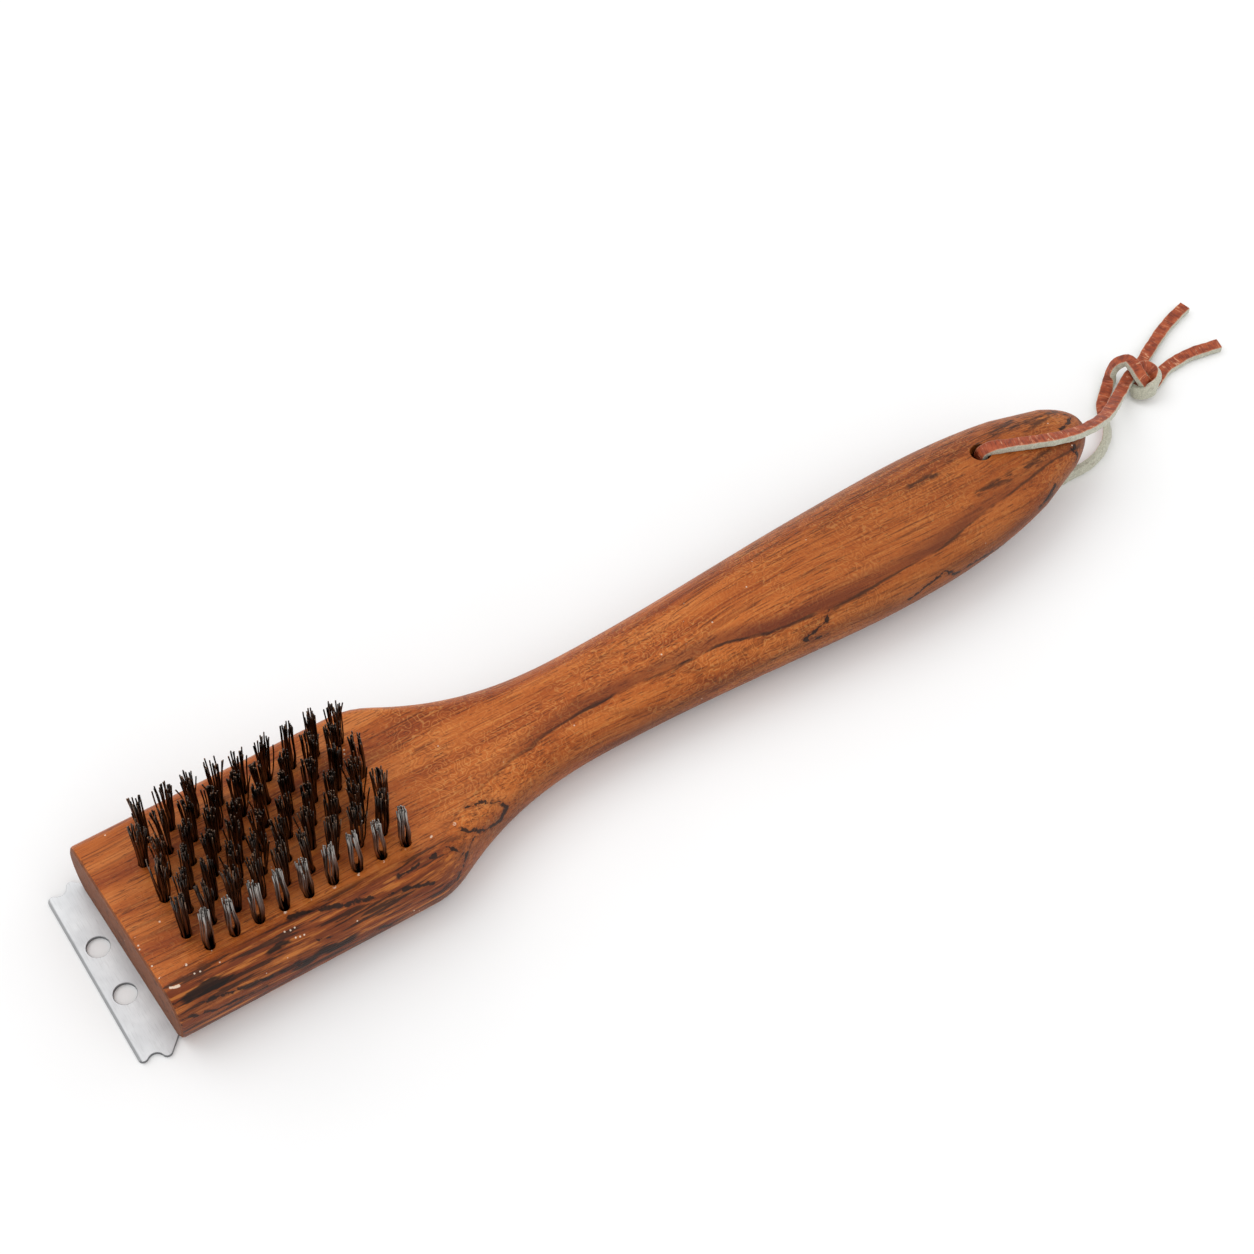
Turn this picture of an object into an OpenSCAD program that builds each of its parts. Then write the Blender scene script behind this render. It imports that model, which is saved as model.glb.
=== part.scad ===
// Wooden grill brush with steel wire tufts, a scraper plate and a leather lace.
// It lies on its flat back with the bristles up. The scraper points along -X
// and the handle along +X. The origin is under the middle of the brush.
// All sizes are in millimetres.

/* [Head] */
// Width of the head across the bristles
head_w = 53; // [48:1:66]
// Length of the head with straight sides
head_len = 71; // [58:1:84]
// Thickness of the head
head_t = 19; // [16:0.5:24]
// How far the round long edges stand out past the flat faces
edge_bulge = 5.5; // [3:0.5:8]
// Small ease round the end face
end_ease = 0.8; // [0.4:0.1:1.5]
// How far the sawn end face is out of square, in degrees
end_skew = 2; // [0:0.5:3]
// Radius of the bend where the head turns into its shoulders
shoulder_r = 5; // [3:1:10]
// How quickly the shoulders draw in towards the neck
shoulder_power = 2.4; // [1.8:0.1:2.8]

/* [Handle] */
// Length of the wood from the end of the head to the tip of the handle
wood_len = 270.5; // [240:0.5:320]
// Width of the neck
neck_w = 26.5; // [20:0.5:32]
// Distance from the end of the head to the narrowest place
neck_at = 122; // [105:1:140]
// Largest width of the grip
grip_w = 35; // [28:0.5:42]
// Largest thickness of the grip
grip_t = 24; // [20:0.5:30]
// Distance from the widest place of the grip to the tip
grip_to_tip = 56; // [40:1:70]
// How far the back rises off the table at the tip
tip_lift = 10; // [8:0.5:14]
// Length of the handle over which the back rises
lift_len = 80; // [70:1:90]
// How far the top falls towards the tip
tip_drop = 4; // [0:0.5:6]
// Length of the round nose at the tip
nose_len = 14; // [8:1:20]
// How far the tip leans to the far side
tip_sweep = 3.5; // [0:0.5:6]

/* [Hanging hole] */
// Diameter of the hole for the lace
lace_hole_d = 5.2; // [4.5:0.1:7]
// Distance of the hole from the tip
lace_hole_inset = 31.5; // [24:0.5:40]
// Distance of the hole from the middle line, towards the far side
lace_hole_y = 4.3; // [0:0.1:5]
// Depth of the worn bevel at both mouths of the hole
lace_hole_ease = 0.5; // [0.3:0.1:1.2]

/* [Scraper] */
// Width of the scraping edge
scraper_w = 49; // [42:1:58]
// Width over the two ears behind the scraping edge
ear_w = 52; // [44:1:62]
// How far the plate stands out past the wood
scraper_reach = 9.5; // [9:0.5:18]
// Thickness of the plate
plate_t = 1; // [0.8:0.1:1.5]
// Width of the tail of the plate that is let into the back
tail_w = 42; // [34:1:42]
// Length of the tail under the wood
tail_len = 25; // [20:1:34]
// Diameter of the two round holes
plate_hole_d = 5.5; // [4:0.1:7]
// Distance between the centres of the two round holes
plate_hole_gap = 14; // [9:0.5:24]
// Distance of the round holes from the scraping edge
plate_hole_inset = 4.8; // [4:0.1:6]
// Distance from the scraping edge to the widest place of the ears
ear_inset = 6.5; // [5:0.5:8]
// Depth of the hollow between the scraping edge and each ear
notch_depth = 1.5; // [0.5:0.1:2.2]
// Radius of the rounded corners of the scraping edge and of the ears
corner_r = 1.2; // [0.6:0.1:1.8]
// Angle at which the sides draw in behind the ears, in degrees
ear_angle = 45; // [35:1:60]
// Height of the ground bevel along the scraping edge
edge_bevel = 0.6; // [0.2:0.1:0.7]
// Cut corners at the end of the tail
tail_corner = 2; // [1:0.5:4]

/* [Screws] */
// Diameter of the countersunk heads
screw_head_d = 5.6; // [4.5:0.1:7]
// Diameter of the screw shanks
screw_d = 2.8; // [2:0.1:3.5]
// Length of the screws
screw_len = 9.5; // [7:0.5:10.5]
// Distance of the two outer screws from the middle line
screw_y = 14; // [10:0.5:16]
// Distance of the two outer screws from the end of the head
screw_x = 9; // [5:0.5:10]
// Distance of the middle screw behind the outer two
screw_step = 10; // [6:0.5:12]

/* [Bristles] */
// Distance between tufts along a row
tuft_pitch = 6.2; // [5.2:0.1:8]
// Distance of the first tuft from the end of the head
field_start = 11.5; // [7:0.5:14]
// Distance kept free of tufts before the shoulders
field_end = 2; // [1:0.5:8]
// Distance of the outer rows from the round long edges
field_side = 5; // [4:0.5:8]
// Diameter of the tufts and of their holes
tuft_d = 2.8; // [2.4:0.1:3.8]
// Depth of the tuft holes
tuft_depth = 8; // [6:0.5:8.5]
// Free length of the bristles above the wood
bristle_len = 17; // [12:0.5:28]
// Thickness of one wire
wire_d = 0.5; // [0.3:0.05:0.6]
// Number of wires standing round the middle one
ring_wires = 8; // [5:1:8]
// How far the outer wires lean out, in degrees
wire_splay = 2.6; // [0:0.2:4]
// Thickness of the flat staple across the foot of each tuft
staple_t = 0.5; // [0.3:0.1:0.8]
// Height of the staple
staple_h = 1.6; // [1:0.1:2]
// How far each end of the staple bites into the wood
staple_bite = 0.6; // [0.3:0.1:0.8]
// Height of the staple above the bottom of its hole
staple_seat = 0.8; // [0.4:0.1:1.2]

/* [Lace] */
// Thickness of the lace
lace_d = 3; // [2:0.1:3.4]

/* [Hidden] */

total_len = scraper_reach + wood_len;
edge_x = -total_len / 2;            // the scraping edge
wood_x = edge_x + scraper_reach;    // the end face of the head
tip_x = total_len / 2;              // the tip of the handle
grip_at = wood_len - grip_to_tip;
lift_from = wood_len - lift_len;
grip_round = 0.85;                  // share of the grip's half width that is rounded
arc_steps = 12;                     // straight facets in each round long edge
round_fn = 48;
over = 1;                           // how far a cutting shape runs past a face

// Outline of the wood, as functions of the distance s from the end of the head

// Distance run into the shoulder, with its corner rounded
function shoulder_run(s) =
    s <= head_len - shoulder_r ? 0
    : s < head_len + shoulder_r ? (s - head_len + shoulder_r) ^ 2 / (4 * shoulder_r)
    : s - head_len;

// Soft step from 0 to 1
function ease(t) = (1 - cos(180 * min(1, max(0, t)))) / 2;

// Half width of the plan
function half_w(s) =
    s <= neck_at
        ? neck_w / 2 + (head_w - neck_w) / 2
            * (1 - min(1, shoulder_run(s) / (neck_at - head_len))) ^ shoulder_power
    : s <= grip_at
        ? neck_w / 2 + (grip_w - neck_w) / 2 * ease((s - neck_at) / (grip_at - neck_at))
    : grip_w / 2 * sqrt(max(0, 1 - ((s - grip_at) / grip_to_tip) ^ 2));

// Middle line of the plan, leaning to the far side towards the tip
function mid_y(s) = tip_sweep * (max(0, s - lift_from) / lift_len) ^ 2;

// Top and back of the side view, before the nose is rounded
function top_z(s) =
    head_t + (grip_t - head_t) * ease((s - head_len) / (grip_at - head_len))
    - tip_drop * (max(0, s - grip_at) / grip_to_tip) ^ 2;
function back_z(s) = tip_lift * (max(0, s - lift_from) / lift_len) ^ 2;
function nose(s) = sqrt(max(0, 1 - (max(0, s - wood_len + nose_len) / nose_len) ^ 2));

// How far the long edges are rounded in from the side
function edge_round(s) =
    let (grip_edge = half_w(s) * grip_round, t = ease((s - head_len) / (neck_at - head_len)))
    edge_bulge * (1 - t) + grip_edge * t;

// One cross-section of the wood, drawn in by inset for the eased end face
function section(s, inset = 0) =
    let (e = edge_round(s), flat = half_w(s) - e, z0 = (top_z(s) + back_z(s)) / 2,
        b = (top_z(s) - back_z(s)) / 2 * nose(s) - inset,
        skew = tan(end_skew) * max(0, 1 - s / head_len))
    [for (side = [1, -1], i = [0 : arc_steps])
        let (a = side * (90 - 180 * i / arc_steps), y = side * (flat + (e - inset) * cos(a)))
        [wood_x + s - skew * y, mid_y(s) + y, z0 + b * sin(a)]];

stations = concat(
    [end_ease, head_len - shoulder_r],
    [for (i = [1 : 4]) head_len - shoulder_r + i * shoulder_r / 2],
    [for (i = [1 : 9])
        head_len + shoulder_r + i * (neck_at - head_len - shoulder_r) / 9],
    [for (i = [1 : 10]) neck_at + i * (grip_at - neck_at) / 10],
    [for (i = [1 : 11]) grip_at + grip_to_tip * sin(i * 7.7)]);

// Closed skin over a list of rings that ends in one point
module skin_to_tip(rings, tip) {
    n = len(rings[0]);
    last = len(rings) - 1;
    polyhedron(
        points = concat([for (r = rings) each r], [tip]),
        faces = concat(
            [[for (j = [n - 1 : -1 : 0]) j]],
            [for (i = [0 : last - 1], j = [0 : n - 1])
                let (k = (j + 1) % n)
                each [[i * n + j, i * n + k, (i + 1) * n + k],
                    [i * n + j, (i + 1) * n + k, (i + 1) * n + j]]],
            [for (j = [0 : n - 1]) [last * n + j, last * n + (j + 1) % n, (last + 1) * n]]));
}

module wood_blank() {
    tip_z = (top_z(wood_len) + back_z(wood_len)) / 2;
    skin_to_tip(concat([section(0, end_ease)], [for (s = stations) section(s)]),
        [tip_x, mid_y(wood_len), tip_z]);
}

// Hole for the lace, with a worn bevel at each mouth
hole_s = wood_len - lace_hole_inset;
hole_x = tip_x - lace_hole_inset;

module hole_mouth(z, up) {
    flare = 2 * lace_hole_ease;
    translate([hole_x, lace_hole_y, z])
        mirror([0, 0, up ? 0 : 1])
            translate([0, 0, -lace_hole_ease])
                cylinder(d1 = lace_hole_d, d2 = lace_hole_d + 2 * flare, h = flare,
                    $fn = round_fn);
}

module lace_hole() {
    translate([hole_x, lace_hole_y, -over])
        cylinder(d = lace_hole_d, h = grip_t + 2 * over, $fn = round_fn);
    hole_mouth(top_z(hole_s), true);
    hole_mouth(back_z(hole_s), false);
}

// Scraper

// Points along an arc, the angles in degrees
function arc(centre, r, from, to) =
    [for (i = [0 : arc_steps])
        let (a = from + (to - from) * i / arc_steps)
        centre + r * [cos(a), sin(a)]];

// Outline of the plate: scraping edge, hollow, ear, and a narrower tail under the wood.
// The hollow touches the round corners of the edge and of the ear.
module plate_outline() {
    edge_c = [edge_x + corner_r, scraper_w / 2 - corner_r];
    ear_c = [edge_x + ear_inset, ear_w / 2 - corner_r];
    gap = ear_c - edge_c;
    reach = (gap * gap / 4 + notch_depth ^ 2) / (2 * notch_depth);
    notch_c = (edge_c + ear_c) / 2 + (reach - notch_depth) * [-gap.y, gap.x] / norm(gap);
    to_edge = atan2(notch_c.y - edge_c.y, notch_c.x - edge_c.x);
    to_ear = atan2(notch_c.y - ear_c.y, notch_c.x - ear_c.x);
    side = ear_c + corner_r * [sin(ear_angle), cos(ear_angle)];
    half = concat(
        arc(edge_c, corner_r, 180, to_edge),
        arc(notch_c, reach - corner_r, 180 + to_edge, 180 + to_ear),
        arc(ear_c, corner_r, to_ear, 90 - ear_angle),
        [[side.x + (side.y - tail_w / 2) / tan(ear_angle), tail_w / 2],
            [wood_x + tail_len - tail_corner, tail_w / 2],
            [wood_x + tail_len, tail_w / 2 - tail_corner]]);
    n = len(half) - 1;
    polygon(concat(half, [for (i = [n : -1 : 0]) [half[i].x, -half[i].y]]));
}

module plate_blank() {
    linear_extrude(height = plate_t) plate_outline();
}

module scraper_plate() {
    color("silver")
        difference() {
            plate_blank();
            for (side = [1, -1])
                translate([edge_x + plate_hole_inset, side * plate_hole_gap / 2, -over])
                    cylinder(d = plate_hole_d, h = plate_t + 2 * over, $fn = round_fn);
            translate([edge_x, 0, plate_t])
                rotate([0, 45, 0])
                    cube([edge_bevel * sqrt(2), scraper_w + 2 * over, edge_bevel * sqrt(2)],
                        center = true);
            screws();
        }
}

// Screws that hold the plate, driven up from the back

screw_places = [[screw_x, screw_y], [screw_x, -screw_y], [screw_x + screw_step, 0]];

// Flat head with a cone under it, a straight shank and a point
module screw() {
    head_h = (screw_head_d - screw_d) / 2;
    rotate_extrude($fn = round_fn)
        polygon([[0, 0], [screw_head_d / 2, 0], [screw_d / 2, head_h],
            [screw_d / 2, screw_len - screw_d], [0, screw_len]]);
}

module screws() {
    for (p = screw_places)
        translate([wood_x + p.x, p.y, 0]) screw();
}

// Cross recess in a screw head
module cross_recess() {
    arm = screw_head_d * 0.55;
    slot = screw_head_d * 0.14;
    for (turn = [0, 90])
        rotate(turn)
            translate([-arm / 2, -slot / 2, -over])
                cube([arm, slot, over + screw_head_d * 0.2]);
}

module scraper_screws() {
    color("gray")
        difference() {
            screws();
            for (i = [0 : len(screw_places) - 1])
                translate([wood_x + screw_places[i].x, screw_places[i].y, 0])
                    rotate(25 + 40 * i) cross_recess();
        }
}

// Tufts: seven rows, every second one half a pitch nearer the scraper

tuft_rows = 7;
field_w = head_w - 2 * edge_bulge - 2 * field_side;
row_gap = field_w / (tuft_rows - 1);
tufts_per_row = floor(
    (head_len - field_start - field_end - tuft_pitch / 2) / tuft_pitch) + 1;
ring_r = (tuft_d - wire_d) / 2 - 0.15;

function tuft_place(row, i) = [
    wood_x + field_start + i * tuft_pitch + (row % 2 == 1 ? tuft_pitch / 2 : 0),
    (row - (tuft_rows + 1) / 2) * row_gap];

// Each tuft stands a little turned about its own axis
module place_tuft(row, i) {
    translate(concat(tuft_place(row, i), head_t - tuft_depth))
        rotate(18 * sin(100 * row + 77 * i)) children();
}

module at_tufts(row) {
    for (i = [0 : tufts_per_row - 1]) place_tuft(row, i) children();
}

module tuft_root() {
    cylinder(d = tuft_d, h = tuft_depth, $fn = 24);
}

// Flat staple that pins the folded wires to the bottom of their hole
module staple() {
    length = tuft_d + 2 * staple_bite;
    translate([-length / 2, -staple_t / 2, staple_seat])
        cube([length, staple_t, staple_h]);
}

// One bundle: the folded root in its hole and the wires that stand out of it
module tuft(seed) {
    jitter = rands(-1, 1, 3 * (ring_wires + 1), seed);
    difference() {
        tuft_root();
        staple();
    }
    for (w = [0 : ring_wires]) {
        outer = w > 0;
        lean = outer ? wire_splay * (0.7 + 0.5 * jitter[3 * w]) : 0.5;
        free = bristle_len * (1 - 0.06 * abs(jitter[3 * w + 1]));
        rotate(360 / ring_wires * w + (outer ? 6 * jitter[3 * w + 2] : 0))
            translate([outer ? ring_r : 0, 0, tuft_depth - 0.5])
                rotate([0, lean, 0])
                    cylinder(d = wire_d, h = free + 0.5, $fn = 6);
    }
}

module tuft_row(row) {
    color("dimgray")
        for (i = [0 : tufts_per_row - 1]) place_tuft(row, i) tuft(100 * row + i);
}

module tuft_staples() {
    color("lightgray")
        for (row = [1 : tuft_rows]) at_tufts(row) staple();
}

// Wood

module wood_body() {
    color("peru")
        difference() {
            wood_blank();
            plate_blank();
            screws();
            lace_hole();
            for (row = [1 : tuft_rows]) at_tufts(row) {
                tuft_root();
                staple();
            }
        }
}

// Lace: one piece from tail to tail, through the hole and tied round itself.
// The points are measured from the axis of the hole at table height.

knot_at = [55, 8.4, 4.8];    // start of the turns, on the line of the inner strand
knot_turns = 1.6;
knot_pitch = 5.2;
knot_r = 3.3;

tail_a = [[59, 8.4, 4.7], [63, 8.4, 4.7], [66.5, 11, 4.4], [71, 14.4, 3.4], [77, 18, 2.4],
    [83, 21.8, 1.9], [87.6, 24.4, 1.7]];
low_strand = [
    [50.6, 12.6, 2.4], [48, 8, 1.8], [45, 2.6, 1.7], [40, -2, 1.7], [34, -4.8, 1.7],
    [27, -6, 1.7], [19, -4.8, 1.7], [11, -2.4, 1.7], [5, -0.4, 1.8]];
through_hole = [
    [2.1, 0, 2.2], [0.8, 0, 3.8], [0.6, 0, 8], [0.6, 0, 14], [0.6, 0, 20.6],
    [0.8, 0, 22.6], [1.5, -0.2, 24.2], [3.2, -0.6, 25.1]];
high_strand = [
    [6, -1.3, 24.9], [10, -2.8, 24.2], [15, -4.4, 23.6], [20, -6, 22.8], [26, -7.2, 21],
    [32, -5.8, 18.8], [38, -2.6, 15.2], [43.5, 1, 11.6], [48.5, 4.8, 7.8], [53.6, 8, 5]];
tail_b = [[87, 8.8, 1.7], [82.7, 9.4, 1.7], [77.5, 9.6, 1.8], [72.6, 8.4, 2.8], [69.4, 6.6, 3.8],
    [66.6, 5.1, 4.6]];

knot_steps = 10;
knot = [for (i = [0 : knot_turns * knot_steps])
    let (a = -40 + 360 * i / knot_steps)
    knot_at + [knot_pitch * i / knot_steps, knot_r * cos(a), knot_r * sin(a)]];

function unit(v) = v / norm(v);
function tangent(p, i) = unit(p[min(i + 1, len(p) - 1)] - p[max(i - 1, 0)]);

// Normals carried along the path without twist
function normals(p, i, last) =
    i == len(p) ? []
    : let (t = tangent(p, i), now = unit(last - t * (last * t)))
        concat([now], normals(p, i + 1, now));

module tube(path, d, sides) {
    side = normals(path, 0, [0, 0, 1]);
    rings = [for (i = [0 : len(path) - 1])
        let (t = tangent(path, i), up = cross(t, side[i]))
        [for (j = [0 : sides - 1])
            let (a = 360 * j / sides)
            path[i] + d / 2 * (side[i] * cos(a) + up * sin(a))]];
    last = len(path) - 1;
    polyhedron(
        points = [for (r = rings) each r],
        faces = concat(
            [[for (j = [sides - 1 : -1 : 0]) j]],
            [for (i = [0 : last - 1], j = [0 : sides - 1])
                let (k = (j + 1) % sides)
                each [[i * sides + j, i * sides + k, (i + 1) * sides + k],
                    [i * sides + j, (i + 1) * sides + k, (i + 1) * sides + j]]],
            [[for (j = [0 : sides - 1]) last * sides + j]]));
}

module leather_lace() {
    turns = [for (i = [len(knot) - 1 : -1 : 0]) knot[i]];
    color("sienna")
        translate([hole_x, lace_hole_y, 0])
            tube(concat(tail_b, turns, low_strand, through_hole, high_strand, tail_a),
                lace_d, 8);
}

wood_body();
scraper_plate();
scraper_screws();
tuft_row(1);  // tuft_row_1
tuft_row(2);  // tuft_row_2
tuft_row(3);  // tuft_row_3
tuft_row(4);  // tuft_row_4
tuft_row(5);  // tuft_row_5
tuft_row(6);  // tuft_row_6
tuft_row(7);  // tuft_row_7
tuft_staples();
leather_lace();
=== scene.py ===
"""Wooden grill brush: the looks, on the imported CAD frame. Metres, one frame with the CAD."""
import math
import random
import bpy
import numpy as np
from mathutils import Matrix, Vector


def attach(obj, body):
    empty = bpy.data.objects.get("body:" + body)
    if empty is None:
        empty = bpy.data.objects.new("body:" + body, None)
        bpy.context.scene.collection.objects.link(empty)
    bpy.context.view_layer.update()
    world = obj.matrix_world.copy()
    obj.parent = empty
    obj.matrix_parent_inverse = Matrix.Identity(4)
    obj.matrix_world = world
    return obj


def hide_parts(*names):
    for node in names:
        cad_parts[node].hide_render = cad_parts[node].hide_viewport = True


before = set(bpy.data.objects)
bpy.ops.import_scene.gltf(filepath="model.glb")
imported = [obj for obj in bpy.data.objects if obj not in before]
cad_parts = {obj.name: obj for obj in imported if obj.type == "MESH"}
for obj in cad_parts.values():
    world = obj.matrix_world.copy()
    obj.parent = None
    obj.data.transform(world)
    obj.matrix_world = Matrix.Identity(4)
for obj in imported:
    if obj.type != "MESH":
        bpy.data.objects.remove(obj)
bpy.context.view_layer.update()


# Camera: stands on the near left, above the scraper, and looks down at 55 degrees
# with a long lens, as fitted to the brush in the photograph.
photo_px, focal_px, sensor_w = 1254, 2800, 36
camera_at = (-0.1942, -0.3175, 0.5662)
camera = bpy.data.objects.new("camera", bpy.data.cameras.new("camera"))
bpy.context.scene.collection.objects.link(camera)
bpy.context.scene.camera = camera
camera.data.sensor_fit = "HORIZONTAL"
camera.data.sensor_width = sensor_w
camera.data.lens = focal_px / photo_px * sensor_w
camera.data.clip_start = 0.02
view_right = Vector((0.849, -0.5284, -0.0012)).normalized()
view_back = Vector((-0.3022, -0.4875, 0.8192))
view_back = (view_back - view_back.dot(view_right) * view_right).normalized()
view_up = view_back.cross(view_right)
camera.matrix_world = Matrix.Translation(camera_at) @ Matrix(
    (view_right, view_up, view_back)).transposed().to_4x4()


# Wooden body: one piece of an oiled orange-brown hardwood, cut from a 19 mm board.
# It is shaped on a spindle moulder and sanded: flat head with round long edges, slim
# neck, full grip. The tuft holes, the lace hole and the scraper's seat are cut into it.
mm = 0.001
head_w, head_len, head_t, edge_bulge = 53, 71, 19, 5.5
end_skew, shoulder_r, shoulder_power = math.radians(2), 5, 2.4
wood_x, wood_len, neck_w, neck_at = -130.5, 270.5, 26.5, 122
grip_w, grip_t, grip_to_tip, grip_roundness = 35, 24, 56, 0.85
tip_lift, lift_len, tip_drop, nose_len, tip_sweep = 10, 80, 4, 14, 3.5
grip_at, lift_from = wood_len - grip_to_tip, wood_len - lift_len
end_round, ring_gap, facets, steps_across = 0.8, 2.2, 28, 12
hole_x, hole_y, hole_d, hole_to_tip = 108.5, 4.3, 5.2, 31.5
tuft_rows, tufts_in_row, tuft_pitch, first_tuft, field_w = 7, 9, 6.2, 11.5, 32
tuft_d, tuft_depth, mouth_flare = 2.8, 8, 0.15
tail_half, tail_len, tail_corner, seat_depth = 21, 25, 2, 1
screw_r, screw_head_r = 1.4, 2.8


def ease(t):
    """Soft step from 0 to 1."""
    return (1 - math.cos(math.pi * min(1, max(0, t)))) / 2


def half_width(s):
    """Half the plan's width at distance s from the end of the head."""
    if s <= neck_at:
        run = s - head_len
        if abs(run) < shoulder_r:
            run = (run + shoulder_r) ** 2 / (4 * shoulder_r)
        run = min(1, max(0, run) / (neck_at - head_len))
        return neck_w / 2 + (head_w - neck_w) / 2 * (1 - run) ** shoulder_power
    if s <= grip_at:
        return neck_w / 2 + (grip_w - neck_w) / 2 * ease((s - neck_at) / (grip_at - neck_at))
    return grip_w / 2 * math.sqrt(max(0, 1 - ((s - grip_at) / grip_to_tip) ** 2))


def top_height(s):
    """Height of the top's middle line, which swells along the grip and drops to the tip."""
    rise = (grip_t - head_t) * ease((s - head_len) / (grip_at - head_len))
    return head_t + rise - tip_drop * (max(0, s - grip_at) / grip_to_tip) ** 2


def back_height(s):
    """Height of the back's middle line, flat on the table up to the lifted tip."""
    return tip_lift * (max(0, s - lift_from) / lift_len) ** 2


def wood_ring(s, inset=0.0):
    """One cross-section of the wood, anticlockwise from the middle of the top."""
    half = half_width(s)
    t = ease((s - head_len) / (neck_at - head_len))
    round_in = edge_bulge * (1 - t) + half * grip_roundness * t
    flat = half - round_in
    top, back = top_height(s), back_height(s)
    nose = math.sqrt(max(0, 1 - (max(0, s - wood_len + nose_len) / nose_len) ** 2))
    lean = tip_sweep * (max(0, s - lift_from) / lift_len) ** 2
    skew = math.tan(end_skew) * max(0, 1 - s / head_len)
    tall = (top - back) / 2 * nose - inset
    points = []
    for side in (1, -1):
        arc = [(flat + (round_in - inset) * math.cos(a), tall * math.sin(a))
               for a in np.radians(np.linspace(90, -90, facets + 1))]
        face = [(flat * k / steps_across, tall) for k in range(steps_across)]
        half_ring = face + arc + [(y, -z) for y, z in reversed(face)]
        if side < 0:
            half_ring = half_ring[::-1][1:-1]
        points += [(wood_x + s - skew * side * y, lean + side * y, (top + back) / 2 + z)
                   for y, z in half_ring]
    return points


def mesh_object(name, verts, faces):
    """A new object from points in millimetres."""
    mesh = bpy.data.meshes.new(name)
    mesh.from_pydata([tuple(c * mm for c in v) for v in verts], [], faces)
    mesh.update()
    made = bpy.data.objects.new(name, mesh)
    bpy.context.scene.collection.objects.link(made)
    return made


def skin(rings):
    """Faces between rings of equal size, each closed on itself, with a lid at both ends."""
    n, last = len(rings[0]), len(rings) - 1
    faces = [(i * n + j, (i + 1) * n + j, (i + 1) * n + (j + 1) % n, i * n + (j + 1) % n)
             for i in range(last) for j in range(n)]
    return faces + [tuple(range(n)), tuple(range((last + 1) * n - 1, last * n - 1, -1))]


def turned(name, x, y, profile, sides):
    """A closed turned shape: profile is a list of (radius, height) from bottom to top."""
    rings = [[(x + r * math.cos(a), y + r * math.sin(a), z)
              for a in np.linspace(0, 2 * math.pi, sides, endpoint=False)]
             for r, z in profile]
    return mesh_object(name, [p for r in rings for p in r],
                       [f[::-1] for f in skin(rings)])


def cut(target, cutters):
    """Cuts the cutters out of the target and takes them away."""
    group = bpy.data.collections.new("cutters")
    for cutter in cutters:
        group.objects.link(cutter)
    step = target.modifiers.new("cut", "BOOLEAN")
    step.operand_type, step.collection = "COLLECTION", group
    step.operation, step.solver = "DIFFERENCE", "MANIFOLD"
    shape = bpy.data.meshes.new_from_object(
        target.evaluated_get(bpy.context.evaluated_depsgraph_get()))
    target.modifiers.clear()
    shape.materials.clear()
    target.data = shape
    bpy.data.collections.remove(group)
    for cutter in cutters:
        bpy.data.objects.remove(cutter)


def smooth_shade(piece, angle):
    """Smooth shading up to an angle between faces; lids and wide flat faces stay flat."""
    piece.data.polygons.foreach_set("use_smooth", [True] * len(piece.data.polygons))
    piece.data.set_sharp_from_angle(angle=math.radians(angle))
    for face in piece.data.polygons:
        if len(face.vertices) > 8 or face.area > 1e-5:
            face.use_smooth = False


# cross-sections: two in the rounded end, even ones along the body, closer ones at the tip
even_rings, tip_rings, tip_from, tip_until = 113, 22, 58, 88.5
stations = [0.35, end_round] + [end_round + ring_gap * (i + 1) for i in range(even_rings)]
stations += [grip_at + grip_to_tip * math.sin(math.radians(a))
             for a in np.linspace(tip_from, tip_until, tip_rings)]
rings = [wood_ring(0, end_round)] + [
    wood_ring(s, max(0, end_round - s) ** 2) for s in stations]
wood = mesh_object("wood", [p for r in rings for p in r], [f[::-1] for f in skin(rings)])

# rows of tufts across the head, with every second row half a pitch nearer the scraper
tuft_places = [(row, wood_x + first_tuft + tuft_pitch * i + (tuft_pitch / 2 if row % 2 else 0),
                (row - (tuft_rows + 1) / 2) * field_w / (tuft_rows - 1))
               for row in range(1, tuft_rows + 1) for i in range(tufts_in_row)]
cutters = [turned("tuft_hole", x, y, [
    (tuft_d / 2 - mouth_flare, head_t - tuft_depth), (tuft_d / 2 - mouth_flare, head_t - 0.1),
    (tuft_d / 2 + mouth_flare, head_t + 0.2)], 20) for row, x, y in tuft_places]
# the lace hole has rounded mouths
hole_top, hole_back = top_height(wood_len - hole_to_tip), back_height(wood_len - hole_to_tip)
cutters.append(turned("lace_hole", hole_x, hole_y, [
    (4.0, hole_back - 1), (3.1, hole_back), (2.75, hole_back + 0.3),
    (hole_d / 2, hole_back + 0.7), (hole_d / 2, hole_top - 0.6), (2.65, hole_top - 0.35),
    (2.8, hole_top - 0.15), (3.4, hole_top + 1)], 48))
seat = [(wood_x - 3, tail_half + 5.25), (wood_x + 2.25, tail_half),
        (wood_x + tail_len - tail_corner, tail_half),
        (wood_x + tail_len, tail_half - tail_corner)]
seat += [(x, -y) for x, y in reversed(seat)]
cutters.append(mesh_object("scraper_seat", [
    (x, y, z) for z in (-1, seat_depth) for x, y in seat], skin([seat, seat])))
screw_places = [(wood_x + 9, 14), (wood_x + 9, -14), (wood_x + 19, 0)]
cutters += [turned("screw_hole", x, y, [
    (screw_head_r, -1), (screw_head_r, 0), (screw_r, screw_head_r - screw_r), (screw_r, 6.7),
    (0.1, 9.5)], 24) for x, y in screw_places]
cut(wood, cutters)
smooth_shade(wood, 32)


def linear(code):
    """An sRGB hex colour as linear RGBA."""
    parts = [int(code[i:i + 2], 16) / 255 for i in (1, 3, 5)]
    return [c / 12.92 if c <= 0.04045 else ((c + 0.055) / 1.055) ** 2.4 for c in parts] + [1.0]


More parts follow.
